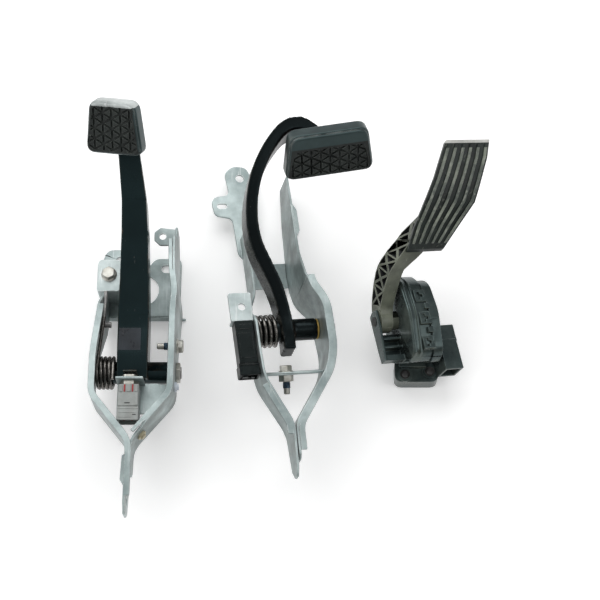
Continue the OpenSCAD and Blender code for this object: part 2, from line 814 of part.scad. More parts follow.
module accel_arm() {
  n = len(arm_back) - 1;
  color([0.30, 0.31, 0.27])
    in_accel()
      difference() {
        union() {
          intersection() {
            along_x(-40, 60)
              polygon(concat([[-10, 7]], arm_front, [for (i = [n : -1 : 0]) arm_back[i]], [[6, -11]]));
            arm_plan(arm_left, arm_right);
          }
          rod_x(12, -accel_arm_w, 0);
          rod_x(rotor_r, -slice, rotor_x);
          along_x(shell_x + wall + 1, rotor_x - 2) polygon([[-36, -3], [-5, -6], [-5, 6], [-12, 4], [-36, 4]]);
        }
        rod_x(shaft_r + fit_gap, -40, 80);
        intersection() {
          along_x(-40, 60) arm_pockets();
          arm_plan([[-60, -19], [-60, 105]], [for (p = arm_right) [p[0] - 3.5, min(p[1], 105)]]);
        }
        along_x(-40, 60) polygon(band(tread_line, 0, 30));
      }
}

// strip of the tread between two parts of its width
module tread_plan(a, b) {
  n = len(tread_edge) - 1;
  polygon(concat([for (e = tread_edge) [e[1] + a * (e[2] - e[1]), e[0]]],
    [for (i = [n : -1 : 0]) [tread_edge[i][1] + b * (tread_edge[i][2] - tread_edge[i][1]), tread_edge[i][0]]]));
}

module accel_tread() {
  color([0.20, 0.22, 0.20])
    in_accel() {
      intersection() {
        along_x(-40, 100) polygon(band(tread_line, 0, 4.5));
        along_z(0, 200) tread_plan(0, 1);
      }
      intersection() {
        along_x(-40, 100) polygon(band(tread_line, 4.5 - slice, 4.5 + accel_rib_h));
        along_z(0, 200)
          intersection() {
            for (i = [0 : accel_ribs - 1]) tread_plan((i + 0.36) / accel_ribs, (i + 0.74) / accel_ribs);
            translate([-40, 49]) square([140, 77]);
          }
      }
    }
}

module accel_foot() {
  translate([row_shift_x, row_shift_y, 0]) {
    along_z(0, 18)
      polygon(soft([[117, -72], [139.5, -72], [139.5, -46], [95.5, -46], [95.5, -72], [117, -72]], 8));
    translate([100, -58, 0]) cube([27, 16, 24]);
    for (p = foot_holes)
      translate([p[0], p[1], 0]) cylinder(d = 15, h = 20);
  }
}

module accel_housing() {
  color([0.16, 0.17, 0.17])
    difference() {
      union() {
        accel_foot();
        in_accel() {
          along_x(shell_x, cover_x) polygon(shell);
          for (x = [9.4, 15.4])
            along_x(x, x + 2.2)
              polygon(soft([[-49, 10], [42, 10], [42, 15.4], [30, 30], [-6, 34], [-45, 23.6]], 8));
          along_x(cheek_x, cheek_x + cheek_t)
            polygon([[-43, -7], [-30, -8], [8, -8], [11, 0], [9, 9], [-9, 9], [-43, 3]]);
          along_x(cheek_x, shell_x + slice)
            polygon([[-43, -7], [-15, -7], [-15, -4.6], [-37, -4.6], [-37, 2], [-43, 2]]);
          for (y = [-30, -21])
            along_x(cheek_x, shell_x + slice) polygon([[y, -7], [y + 2.4, -7], [y + 2.4, 3], [y, 3]]);
        }
      }
      in_accel() {
        along_x(shell_x + wall, cover_x + 1) polygon(shell_in);
        along_x(cover_x, cap_x + 20) polygon(cap);
        rod_x(rotor_r + air, 0, 20);
        rod_x(shaft_r, -40, -10);
      }
      for (p = foot_holes)
        translate([p[0] + row_shift_x, p[1] + row_shift_y, -1]) cylinder(r = 5, h = 24);
    }
}

module accel_sleeves() {
  color([0.66, 0.66, 0.64])
    translate([row_shift_x, row_shift_y, 0])
      for (p = foot_holes)
        translate([p[0], p[1], 0])
          difference() {
            cylinder(r = 5, h = 20.4);
            translate([0, 0, -1]) cylinder(d = sleeve_bore_d, h = 30);
          }
}

// deep cap with snap loops over the housing, a bearing boss inside and the plug socket outside
module accel_cover() {
  color([0.15, 0.16, 0.16])
    in_accel()
      difference() {
        union() {
          difference() {
            along_x(cover_x, cap_x) polygon(cap);
            along_x(cover_x - 1, cap_x - wall) polygon(shell_in);
          }
          for (p = [[12, 28.4], [-12, 28.4], [-36, 23.2]])
            translate([cover_x - 11, p[0] - 6.5, p[1] - 3]) cube([12, 13, 7]);
          for (p = [[0, 30], [-24, 26]])
            translate([cover_x - 4, p[0] - 3, p[1] - 2]) cube([5, 6, 7]);
          rod_x(7.5, rotor_x + 4.5, cap_x - wall + slice);
          translate([cap_x - slice, -30, -8]) cube([26, 18, 18]);
          translate([cap_x + 5, -60, -11]) cube([20, 32, 22]);
        }
        along_x(0, cover_x) polygon(shell);
        for (y = [12, -12, -36]) {
          translate([cover_x - 8, y - 4, 10]) cube([3, 8, 40]);
          translate([cover_x - 6, y - 1.4, 10]) cube([4, 2.8, 40]);
        }
        rod_x(shaft_r, 30, cap_x - 4.5);
        translate([cap_x + 7.5, -61, -8]) cube([15, 25, 16]);
      }
}

module accel_shaft() {
  color([0.70, 0.70, 0.70])
    in_accel() rod_x(shaft_r, cheek_x - 0.6, cap_x - 4.5);
}

module accel_magnet() {
  color([0.35, 0.35, 0.37])
    in_accel()
      difference() {
        rod_x(rotor_r, rotor_x, rotor_x + 3);
        rod_x(shaft_r + air, 20, 60);
      }
}

module accel_sensor_board() {
  color([0.08, 0.26, 0.14])
    in_accel()
      difference() {
        translate([rotor_x + 5.5, -20, -17]) cube([1.6, 42, 36]);
        rod_x(7.5, 20, 60);
      }
}

module accel_terminals() {
  color([0.78, 0.66, 0.34])
    in_accel()
      for (i = [0 : 2]) for (z = [-4, 4])
        translate([cap_x + 10.4 + i * 4.2, -50, z - 0.4]) cube([0.8, 14, 0.8]);
}

module accel_return_springs() {
  color([0.60, 0.60, 0.58])
    in_accel()
      for (y = [-17.5, -29])
        translate([18, y, 0])
          rotate([0, -90, 0]) wire(coil(4.2, 5, 19.6, 4, 0), 0.7, 6);
}

module accel_spring_seat() {
  color([0.70, 0.68, 0.60])
    in_accel()
      difference() {
        translate([12, -34, 20.3]) cube([12, 22, 8]);
        along_x(0, 60) polygon([[-42.3, 19.3], [-6, 28.8], [-6, 60], [-60, 60], [-60, 14.67]]);
      }
}

clutch_left_plate();
clutch_right_plate();
clutch_bulkhead_plate();
clutch_screw_seat();
clutch_seat_screw();
clutch_pivot_bolt();
clutch_pivot_nut();
clutch_arm();
clutch_bushes();
clutch_pad_plate();
clutch_pad_rubber();
clutch_return_spring();
clutch_spring_anchor();
clutch_stop_screw();
clutch_switch_bracket();
clutch_switch_body();
clutch_switch_terminals();
clutch_switch_nuts();
clutch_switch_plunger();
clutch_side_clip();
clutch_tail_clip();
brake_left_plate();
brake_right_plate();
brake_bridge();
brake_pivot_bolt();
brake_pivot_nut();
brake_arm();
brake_bushes();
brake_pad_plate();
brake_pad_rubber();
brake_return_spring();
brake_cross_strap();
brake_strap_screw();
brake_strap_nut();
brake_switch_bracket();
brake_switch_body();
brake_switch_plunger();
accel_arm();
accel_tread();
accel_housing();
accel_sleeves();
accel_cover();
accel_shaft();
accel_magnet();
accel_sensor_board();
accel_terminals();
accel_return_springs();
accel_spring_seat();
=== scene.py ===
from math import pi, radians
import bpy
import bmesh
from mathutils import Matrix, Vector


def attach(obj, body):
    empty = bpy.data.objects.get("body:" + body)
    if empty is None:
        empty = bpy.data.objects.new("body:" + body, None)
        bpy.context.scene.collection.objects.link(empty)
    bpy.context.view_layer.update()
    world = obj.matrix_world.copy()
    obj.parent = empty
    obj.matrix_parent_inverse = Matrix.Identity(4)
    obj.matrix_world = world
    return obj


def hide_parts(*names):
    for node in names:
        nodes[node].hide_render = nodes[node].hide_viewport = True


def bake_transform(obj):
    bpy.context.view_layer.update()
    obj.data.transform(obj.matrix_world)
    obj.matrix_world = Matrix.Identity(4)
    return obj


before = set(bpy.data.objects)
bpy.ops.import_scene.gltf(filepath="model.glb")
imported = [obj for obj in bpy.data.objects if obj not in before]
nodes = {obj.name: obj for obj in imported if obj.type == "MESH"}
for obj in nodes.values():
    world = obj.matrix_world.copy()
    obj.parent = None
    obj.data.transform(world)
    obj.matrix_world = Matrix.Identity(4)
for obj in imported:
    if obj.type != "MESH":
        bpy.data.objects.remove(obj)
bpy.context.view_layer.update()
MM = 0.001


def moved(x, y, z):
    """Shift in millimetres."""
    return Matrix.Translation(Vector((x, y, z)) * MM)


def turned(degrees, axis):
    return Matrix.Rotation(radians(degrees), 4, axis)


# frames of the three units: X along the pivot, Y towards the pad, Z away from the bulkhead
clutch_unit = moved(-151.6, -48.6, 45)
brake_unit = moved(-2.6, -6.6, 52.96) @ turned(8, "Z") @ turned(12, "Y")
accel_unit = moved(100.4, 5.4, 48) @ turned(12, "Z") @ turned(20, "Y")


# ---- effects shared by the finishes ----

def new_node(tree, kind, **settings):
    node = tree.nodes.new(kind)
    for name, value in settings.items():
        setattr(node, name, value)
    return node


def effect_group(name, inputs, outputs):
    tree = bpy.data.node_groups.new(name, "ShaderNodeTree")
    for label, kind, value in inputs:
        socket = tree.interface.new_socket(label, in_out="INPUT", socket_type=kind)
        socket.default_value = value
    for label, kind in outputs:
        tree.interface.new_socket(label, in_out="OUTPUT", socket_type=kind)
    return tree, tree.nodes.new("NodeGroupInput"), tree.nodes.new("NodeGroupOutput")


def noise_in(tree, vector, scale, detail, rough):
    node = new_node(tree, "ShaderNodeTexNoise")
    node.inputs["Detail"].default_value = detail
    node.inputs["Roughness"].default_value = rough
    tree.links.new(vector, node.inputs["Vector"])
    tree.links.new(scale, node.inputs["Scale"])
    return node.outputs["Fac"]


def math_in(tree, operation, *values, clamp=False):
    node = new_node(tree, "ShaderNodeMath", operation=operation, use_clamp=clamp)
    for socket, value in zip(node.inputs, values):
        if isinstance(value, (int, float)):
            socket.default_value = value
        else:
            tree.links.new(value, socket)
    return node.outputs[0]


def ramp_in(tree, value, low, high):
    node = new_node(tree, "ShaderNodeMapRange", interpolation_type="SMOOTHSTEP")
    node.inputs["From Min"].default_value = low
    node.inputs["From Max"].default_value = high
    tree.links.new(value, node.inputs["Value"])
    return node.outputs["Result"]


def object_place(tree):
    return new_node(tree, "ShaderNodeTexCoord").outputs["Object"]


# edge effect: worn bare edges on some finishes, a painted highlight along the edges on others
def make_edge_wear_and_highlight():
    tree, given, result = effect_group(
        "edge wear and highlight", [("Width", "NodeSocketFloat", 0.0012), ("Patch", "NodeSocketFloat", 60.0),
                     ("Bare", "NodeSocketFloat", 0.5)], [("Mask", "NodeSocketFloat")])
    contrast = 8.0
    softened = new_node(tree, "ShaderNodeBevel", samples=4)
    tree.links.new(given.outputs["Width"], softened.inputs["Radius"])
    facing = new_node(tree, "ShaderNodeVectorMath", operation="DOT_PRODUCT")
    tree.links.new(softened.outputs["Normal"], facing.inputs[0])
    tree.links.new(new_node(tree, "ShaderNodeNewGeometry").outputs["Normal"], facing.inputs[1])
    edge = ramp_in(tree, math_in(tree, "SUBTRACT", 1.0, facing.outputs["Value"]), low=0.015, high=0.16)
    patch = noise_in(tree, object_place(tree), given.outputs["Patch"], detail=5.0, rough=0.65)
    patch = math_in(tree, "SUBTRACT", patch, given.outputs["Bare"])
    patch = math_in(tree, "MULTIPLY", patch, contrast, clamp=True)
    tree.links.new(math_in(tree, "MULTIPLY", edge, patch), result.inputs["Mask"])
    return tree


def make_grain():
    tree, given, result = effect_group(
        "grain", [("Scale", "NodeSocketFloat", 900.0), ("Coarse", "NodeSocketFloat", 70.0)],
        [("Height", "NodeSocketFloat"), ("Tone", "NodeSocketFloat")])
    place = object_place(tree)
    fine = noise_in(tree, place, given.outputs["Scale"], detail=3.0, rough=0.6)
    coarse = noise_in(tree, place, given.outputs["Coarse"], detail=5.0, rough=0.6)
    fine_share, coarse_share = 0.65, 0.35
    mixed = math_in(tree, "MULTIPLY_ADD", fine, fine_share,
                    math_in(tree, "MULTIPLY", coarse, coarse_share))
    tree.links.new(mixed, result.inputs["Height"])
    tree.links.new(coarse, result.inputs["Tone"])
    return tree


# facing effect: settled dust on up faces, painted shade and painted sheen on faces turned elsewhere
def make_dust_and_painted_light():
    tree, given, result = effect_group(
        "dust and painted light", [("Scale", "NodeSocketFloat", 45.0), ("Cover", "NodeSocketFloat", 0.5),
                         ("Side", "NodeSocketVector", (0, 0, 1))], [("Mask", "NodeSocketFloat")])
    contrast, lift = 3.0, 0.35
    coordinates = new_node(tree, "ShaderNodeTexCoord")
    facing = new_node(tree, "ShaderNodeVectorMath", operation="DOT_PRODUCT")
    tree.links.new(coordinates.outputs["Normal"], facing.inputs[0])
    tree.links.new(given.outputs["Side"], facing.inputs[1])
    turned_to_side = ramp_in(tree, facing.outputs["Value"], low=-0.1, high=0.9)
    cloud = noise_in(tree, coordinates.outputs["Object"], given.outputs["Scale"], detail=6.0, rough=0.7)
    cloud = math_in(tree, "SUBTRACT", cloud, math_in(tree, "SUBTRACT", 1.0, given.outputs["Cover"]))
    cloud = math_in(tree, "MULTIPLY_ADD", cloud, contrast, lift, clamp=True)
    tree.links.new(math_in(tree, "MULTIPLY", turned_to_side, cloud), result.inputs["Mask"])
    return tree


def make_scratches():
    tree, given, result = effect_group(
        "scratches", [("Scale", "NodeSocketFloat", 300.0), ("Few", "NodeSocketFloat", 0.7)],
        [("Mask", "NodeSocketFloat")])
    contrast = 14.0
    place = object_place(tree)
    found = None
    for turn, long in (((0.2, 0.1, 0.5), 0.05), ((0.1, 0.3, -0.9), 0.08)):
        lay = new_node(tree, "ShaderNodeMapping")
        lay.inputs["Rotation"].default_value = turn
        lay.inputs["Scale"].default_value = (1.0, long, 1.0)
        tree.links.new(place, lay.inputs["Vector"])
        line = noise_in(tree, lay.outputs["Vector"], given.outputs["Scale"], detail=2.0, rough=0.5)
        line = math_in(tree, "SUBTRACT", line, given.outputs["Few"])
        line = math_in(tree, "MULTIPLY", line, contrast, clamp=True)
        found = line if found is None else math_in(tree, "MAXIMUM", found, line)
    tree.links.new(found, result.inputs["Mask"])
    return tree


def make_mottle():
    tree, given, result = effect_group(
        "mottle", [("Light", "NodeSocketColor", (1, 1, 1, 1)), ("Dark", "NodeSocketColor", (0, 0, 0, 1)),
                   ("Scale", "NodeSocketFloat", 30.0)], [("Color", "NodeSocketColor")])
    cloud = noise_in(tree, object_place(tree), given.outputs["Scale"], detail=7.0, rough=0.62)
    mix = new_node(tree, "ShaderNodeMixRGB")
    tree.links.new(ramp_in(tree, cloud, low=0.3, high=0.72), mix.inputs["Fac"])
    tree.links.new(given.outputs["Dark"], mix.inputs["Color1"])
    tree.links.new(given.outputs["Light"], mix.inputs["Color2"])
    tree.links.new(mix.outputs["Color"], result.inputs["Color"])
    return tree


edge_wear_and_highlight_group = make_edge_wear_and_highlight()
grain = make_grain()
dust_and_painted_light_group = make_dust_and_painted_light()
scratches = make_scratches()
mottle = make_mottle()


class Finish:
    """A node material with a Principled BSDF and the effects laid over its base colour."""

    def __init__(self, name, rough, metal=0.0, specular=0.5, gleam=(1, 1, 1)):
        self.material = bpy.data.materials.new(name)
        self.material.use_nodes = True
        self.tree = self.material.node_tree
        self.shader = self.tree.nodes["Principled BSDF"]
        self.shader.inputs["Metallic"].default_value = metal
        self.shader.inputs["Specular IOR Level"].default_value = specular
        self.shader.inputs["Specular Tint"].default_value = (*gleam, 1)
        self.rough = rough
        self.color = None

    def effect(self, group, **values):
        node = new_node(self.tree, "ShaderNodeGroup", node_tree=group)
        for name, value in values.items():
            node.inputs[name].default_value = value
        return node.outputs

    def base(self, light, dark, scale):
        self.color = self.effect(mottle, Light=(*light, 1), Dark=(*dark, 1), Scale=scale)["Color"]
        return self

    def over(self, mask, color, share):
        mix = new_node(self.tree, "ShaderNodeMixRGB")
        self.tree.links.new(math_in(self.tree, "MULTIPLY", mask, share), mix.inputs["Fac"])
        self.tree.links.new(self.color, mix.inputs["Color1"])
        mix.inputs["Color2"].default_value = (*color, 1)
        self.color = mix.outputs["Color"]
        return self

    def edge_wear_and_highlight(self, color, width, patch, sparse, share):
        """Lighter edges, as wide as the width in millimetres: worn bare edges on some finishes, a painted
        highlight on others.
        """
        mask = self.effect(edge_wear_and_highlight_group, Width=width * MM, Patch=patch, Bare=sparse)["Mask"]
        return self.over(mask, color, share)

    def dust_and_painted_light(self, color, scale, cover, share, side=(0, 0, 1)):
        """Patches of a colour on the faces that look towards a side: settled dust on some finishes, painted
        shade and painted sheen on others.
        """
        mask = self.effect(dust_and_painted_light_group, Scale=scale, Cover=cover, Side=side)["Mask"]
        return self.over(mask, color, share)

    def scratch(self, color, scale, few, share):
        """Fine lines in two directions."""
        mask = self.effect(scratches, Scale=scale, Few=few)["Mask"]
        return self.over(mask, color, share)

    def grained(self, height, scale, coarse, spread):
        """Fine bump of a height in millimetres, and a roughness that varies."""
        found = self.effect(grain, Scale=scale, Coarse=coarse)
        bump = new_node(self.tree, "ShaderNodeBump")
        bump.inputs["Strength"].default_value = 0.5
        bump.inputs["Distance"].default_value = height * MM
        self.tree.links.new(found["Height"], bump.inputs["Height"])
        self.tree.links.new(bump.outputs["Normal"], self.shader.inputs["Normal"])
        rough = new_node(self.tree, "ShaderNodeMapRange")
        rough.inputs["To Min"].default_value = max(self.rough - spread, 0.08)
        rough.inputs["To Max"].default_value = min(self.rough + spread, 1.0)
        self.tree.links.new(found["Tone"], rough.inputs["Value"])
        self.tree.links.new(rough.outputs["Result"], self.shader.inputs["Roughness"])
        return self

    def done(self):
        self.tree.links.new(self.color, self.shader.inputs["Base Color"])
        return self.material


zinc_plate = (
    Finish("zinc plate", rough=0.4, metal=0.5)
    .base((0.52, 0.605, 0.6), (0.24, 0.295, 0.295), scale=24)
    .grained(height=0.04, scale=700, coarse=38, spread=0.14)
    .scratch((0.66, 0.7, 0.7), scale=420, few=0.66, share=0.45)
    # painted shade: brownish darkening on the faces turned down
    .dust_and_painted_light((0.1, 0.08, 0.06), scale=45, cover=0.5, share=0.6, side=(0, -0.2, -0.98))
    # painted shade: darker walls on the faces turned to either side
    .dust_and_painted_light((0.1, 0.112, 0.105), scale=40, cover=0.6, share=0.65, side=(1, 0, -0.25))
    .dust_and_painted_light((0.1, 0.112, 0.105), scale=40, cover=0.6, share=0.65, side=(-1, 0, -0.25))
    # worn edges, brightened into a painted highlight along the lips and edges
    .edge_wear_and_highlight((0.85, 0.9, 0.89), width=1.4, patch=40, sparse=0.36, share=0.85)
    .done())
# lighter copy of the zinc plate: painted light for the tabs and the seat that face the lamp
zinc_tabs_painted_lit = (
    Finish("zinc tabs painted lit", rough=0.38, metal=0.5)
    .base((0.55, 0.62, 0.615), (0.35, 0.41, 0.41), scale=34)
    .grained(height=0.04, scale=700, coarse=45, spread=0.16)
    .scratch((0.7, 0.73, 0.73), scale=420, few=0.64, share=0.5)
    .dust_and_painted_light((0.26, 0.25, 0.22), scale=60, cover=0.34, share=0.3)
    .edge_wear_and_highlight((0.8, 0.83, 0.83), width=1.6, patch=60, sparse=0.38, share=0.7)
    .done())
black_paint = (
    Finish("black gloss paint", rough=0.24, specular=0.3, gleam=(0.6, 0.95, 1))
    .base((0.0045, 0.0095, 0.0105), (0.002, 0.0042, 0.0048), scale=20)
    .grained(height=0.03, scale=420, coarse=30, spread=0.1)
    .scratch((0.12, 0.11, 0.1), scale=330, few=0.74, share=0.5)
    .dust_and_painted_light((0.075, 0.05, 0.034), scale=55, cover=0.5, share=0.75, side=(1, 0, -0.1))
    .edge_wear_and_highlight((0.15, 0.105, 0.072), width=1.6, patch=55, sparse=0.44, share=0.8)
    .dust_and_painted_light((0.05, 0.06, 0.06), scale=22, cover=0.3, share=0.16)
    .done())
scuffed_paint = (
    Finish("scuffed black paint", rough=0.24, specular=0.18, gleam=(0.7, 0.95, 1))
    .base((0.0035, 0.0042, 0.0046), (0.0016, 0.002, 0.0022), scale=20)
    .grained(height=0.04, scale=420, coarse=30, spread=0.12)
    .scratch((0.1, 0.095, 0.085), scale=330, few=0.74, share=0.5)
    .dust_and_painted_light((0.12, 0.118, 0.105), scale=110, cover=0.5, share=0.8, side=(-1, 0.2, -0.3))
    .dust_and_painted_light((0.075, 0.05, 0.036), scale=60, cover=0.46, share=0.6, side=(1, 0, -0.3))
    .edge_wear_and_highlight((0.2, 0.17, 0.14), width=1.6, patch=60, sparse=0.44, share=0.7)
    .done())
pressed_flat = (
    Finish("pressed flat of the arm", rough=0.3, specular=0.35)
    .base((0.018, 0.025, 0.033), (0.008, 0.011, 0.015), scale=60)
    .grained(height=0.05, scale=500, coarse=60, spread=0.14)
    .scratch((0.08, 0.08, 0.08), scale=330, few=0.7, share=0.5)
    .done())
rubber_pad = (
    Finish("dusty pad rubber", rough=0.56, specular=0.35)
    .base((0.021, 0.027, 0.025), (0.007, 0.009, 0.009), scale=40)
    .grained(height=0.12, scale=1100, coarse=90, spread=0.16)
    .edge_wear_and_highlight((0.10, 0.112, 0.10), width=1.2, patch=120, sparse=0.4, share=0.75)
    .dust_and_painted_light((0.066, 0.077, 0.068), scale=80, cover=0.42, share=0.42)
    .done())
rubber_rim = (
    Finish("smooth rim rubber", rough=0.36, gleam=(0.7, 1, 1))
    .base((0.032, 0.046, 0.047), (0.014, 0.020, 0.021), scale=30)
    .grained(height=0.06, scale=900, coarse=60, spread=0.14)
    .dust_and_painted_light((0.17, 0.17, 0.155), scale=70, cover=0.5, share=0.6, side=(-1, 0, 0))
    # painted highlight: pale line along the rim edges
    .edge_wear_and_highlight((0.33, 0.355, 0.35), width=2.0, patch=40, sparse=0.42, share=0.75)
    .done())
# painted highlight: a pale copy of the pad rubber for the clutch pad's top lip, where the glare falls
rubber_lip_painted_glare = (
    Finish("lip rubber painted glare", rough=0.36)
    .base((0.6, 0.64, 0.63), (0.34, 0.37, 0.365), scale=55)
    .grained(height=0.08, scale=900, coarse=60, spread=0.16)
    .scratch((0.66, 0.68, 0.67), scale=300, few=0.66, share=0.6)
    .done())
spring_wire = (
    Finish("oiled spring wire", rough=0.26, metal=0.9)
    .base((0.24, 0.23, 0.215), (0.075, 0.07, 0.065), scale=90)
    .grained(height=0.03, scale=800, coarse=120, spread=0.14)
    .scratch((0.6, 0.58, 0.54), scale=500, few=0.66, share=0.7)
    .done())
bolt_zinc = (
    Finish("yellowish bolt zinc", rough=0.34, metal=0.75)
    .base((0.57, 0.57, 0.53), (0.35, 0.34, 0.3), scale=110)
    .grained(height=0.03, scale=900, coarse=160, spread=0.16)
    .edge_wear_and_highlight((0.8, 0.79, 0.74), width=0.7, patch=150, sparse=0.36, share=0.8)
    .done())
dark_bolt = (
    Finish("dark bolt steel", rough=0.36, metal=0.7)
    .base((0.30, 0.30, 0.29), (0.14, 0.14, 0.14), scale=130)
    .grained(height=0.03, scale=900, coarse=160, spread=0.16)
    .edge_wear_and_highlight((0.55, 0.54, 0.5), width=0.7, patch=150, sparse=0.4, share=0.8)
    .done())
thread_lock = (
    Finish("blue thread lock", rough=0.42, metal=0.3)
    .base((0.05, 0.11, 0.17), (0.012, 0.02, 0.04), scale=220)
    .grained(height=0.05, scale=900, coarse=260, spread=0.16)
    .edge_wear_and_highlight((0.3, 0.36, 0.42), width=0.5, patch=220, sparse=0.46, share=0.7)
    .done())
switch_grey = (
    Finish("light grey switch plastic", rough=0.44)
    .base((0.36, 0.385, 0.375), (0.27, 0.29, 0.28), scale=60)
    .grained(height=0.05, scale=900, coarse=110, spread=0.16)
    .edge_wear_and_highlight((0.55, 0.57, 0.55), width=0.8, patch=120, sparse=0.42, share=0.6)
    .dust_and_painted_light((0.2, 0.19, 0.16), scale=90, cover=0.42, share=0.4)
    .done())
switch_black = (
    Finish("black switch plastic", rough=0.3, specular=0.16, gleam=(0.8, 1, 1))
    .base((0.008, 0.0105, 0.0105), (0.0035, 0.0045, 0.0045), scale=50)
    .grained(height=0.05, scale=900, coarse=100, spread=0.12)
    .edge_wear_and_highlight((0.12, 0.12, 0.115), width=1.0, patch=90, sparse=0.42, share=0.8)
    .dust_and_painted_light((0.04, 0.044, 0.042), scale=90, cover=0.4, share=0.15)
    .done())
# painted shade: dark blocks standing in for the shaded slots of the switch
slot_painted_shade = (
    Finish("slot painted shade", rough=0.6)
    .base((0.03, 0.03, 0.03), (0.015, 0.015, 0.015), scale=120)
    .grained(height=0.04, scale=900, coarse=160, spread=0.14)
    .done())
red_strip = (
    Finish("red strip", rough=0.4)
    .base((0.36, 0.02, 0.018), (0.2, 0.012, 0.012), scale=200)
    .grained(height=0.03, scale=900, coarse=160, spread=0.14)
    .done())
cream_nylon = (
    Finish("cream nylon", rough=0.45)
    .base((0.66, 0.6, 0.43), (0.48, 0.43, 0.29), scale=120)
    .grained(height=0.04, scale=900, coarse=160, spread=0.14)
    .done())
white_nylon = (
    Finish("white nylon", rough=0.42)
    .base((0.72, 0.77, 0.82), (0.55, 0.61, 0.68), scale=120)
    .grained(height=0.04, scale=900, coarse=160, spread=0.14)
    .done())
bush_yellow = (
    Finish("yellow bush", rough=0.36, metal=0.5)
    .base((0.62, 0.44, 0.14), (0.42, 0.28, 0.07), scale=140)
    .grained(height=0.03, scale=900, coarse=160, spread=0.14)
    .done())
olive_plastic = (
    Finish("olive arm plastic", rough=0.4)
    .base((0.185, 0.2, 0.15), (0.08, 0.09, 0.068), scale=34)
    .grained(height=0.08, scale=800, coarse=60, spread=0.16)
    .scratch((0.3, 0.31, 0.25), scale=320, few=0.72, share=0.5)
    .edge_wear_and_highlight((0.38, 0.4, 0.33), width=1.0, patch=80, sparse=0.36, share=0.8)
    .dust_and_painted_light((0.03, 0.033, 0.03), scale=44, cover=0.36, share=0.5, side=(0.3, -0.6, 0.7))
    .done())
pocket_shade = (
    Finish("dark lattice pocket", rough=0.5)
    .base((0.03, 0.033, 0.034), (0.012, 0.013, 0.014), scale=60)
    .grained(height=0.08, scale=800, coarse=60, spread=0.16)
    .edge_wear_and_highlight((0.12, 0.12, 0.105), width=0.8, patch=80, sparse=0.4, share=0.7)
    .done())
tread_plastic = (
    Finish("ribbed tread plastic", rough=0.4, specular=0.35)
    .base((0.02, 0.03, 0.026), (0.006, 0.009, 0.0085), scale=46)
    .grained(height=0.14, scale=900, coarse=80, spread=0.18)
    .scratch((0.14, 0.15, 0.125), scale=260, few=0.66, share=0.5)
    .dust_and_painted_light((0.07, 0.08, 0.064), scale=110, cover=0.4, share=0.35)
    .done())
tread_rib = (
    Finish("worn tread rib", rough=0.38)
    .base((0.34, 0.37, 0.3), (0.055, 0.07, 0.06), scale=42)
    .grained(height=0.10, scale=900, coarse=120, spread=0.18)
    .scratch((0.42, 0.44, 0.38), scale=300, few=0.62, share=0.6)
    .edge_wear_and_highlight((0.4, 0.42, 0.36), width=0.8, patch=110, sparse=0.44, share=0.6)
    .dust_and_painted_light((0.025, 0.035, 0.034), scale=38, cover=0.46, share=0.85, side=(0, -0.55, 0.84))
    .done())
tread_lip = (
    Finish("pale tread lip", rough=0.34)
    .base((0.74, 0.74, 0.7), (0.5, 0.5, 0.47), scale=90)
    .grained(height=0.06, scale=900, coarse=120, spread=0.16)
    .done())
housing_plastic = (
    Finish("dark housing plastic", rough=0.2, specular=0.6, gleam=(0.75, 1, 1))
    .base((0.03, 0.041, 0.041), (0.013, 0.018, 0.019), scale=34)
    .grained(height=0.05, scale=900, coarse=70, spread=0.1)
    .edge_wear_and_highlight((0.18, 0.205, 0.2), width=0.8, patch=100, sparse=0.44, share=0.55)
    # painted sheen: lighter green-grey on the faces turned up and to the left
    .dust_and_painted_light((0.17, 0.205, 0.185), scale=26, cover=0.5, share=0.5, side=(-0.75, 0.25, 0.6))
    .dust_and_painted_light((0.2, 0.2, 0.14), scale=50, cover=0.5, share=0.45, side=(0, -1, 0))
    .done())
# dark steel, darkened further as painted shade so the foot bores read dark
sleeve_steel_with_painted_shade = (
    Finish("sleeve steel with painted shade", rough=0.4, metal=0.7)
    .base((0.07, 0.07, 0.067), (0.03, 0.03, 0.029), scale=120)
    .grained(height=0.03, scale=900, coarse=160, spread=0.14)
    .done())
board_green = (
    Finish("board lacquer", rough=0.4)
    .base((0.03, 0.14, 0.06), (0.02, 0.09, 0.04), scale=120)
    .grained(height=0.03, scale=900, coarse=160, spread=0.12)
    .done())
magnet_grey = (
    Finish("bonded magnet", rough=0.6)
    .base((0.10, 0.10, 0.11), (0.06, 0.06, 0.065), scale=160)
    .grained(height=0.06, scale=900, coarse=160, spread=0.14)
    .done())


# ---- making pieces ----

SHARP = 40  # degrees between two faces from which their edge is rounded
COS_30 = 0.8660254
ROOT_HALF = 0.7071


def as_piece(name, bm, body, finishes, sharp=34):
    for face in bm.faces:
        face.smooth = True
    mesh = bpy.data.meshes.new(name)
    bm.to_mesh(mesh)
    bm.free()
    mesh.set_sharp_from_angle(angle=radians(sharp))
    for finish in finishes:
        mesh.materials.append(finish)
    piece = bpy.data.objects.new(name, mesh)
    bpy.context.scene.collection.objects.link(piece)
    shading = piece.modifiers.new("even shading", "WEIGHTED_NORMAL")
    shading.keep_sharp = True
    if body:
        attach(piece, body)
    return piece


def node_copy(node):
    bm = bmesh.new()
    bm.from_mesh(nodes[node].data)
    bmesh.ops.remove_doubles(bm, verts=bm.verts, dist=0.003 * MM)
    bmesh.ops.dissolve_limit(bm, angle_limit=radians(0.05), verts=bm.verts, edges=bm.edges)
    for face in bm.faces:
        face.material_index = 0
    return bm


def sharp_edges(bm, angle, shortest):
    return [e for e in bm.edges if len(e.link_faces) == 2 and e.calc_length() > shortest * MM
            and e.calc_face_angle(0.0) > radians(angle)]


def rounded(bm, edges, width, segments):
    bmesh.ops.bevel(bm, geom=edges, offset=width * MM, offset_type="OFFSET", segments=segments, profile=0.5,
                    affect="EDGES", clamp_overlap=False, material=-1)


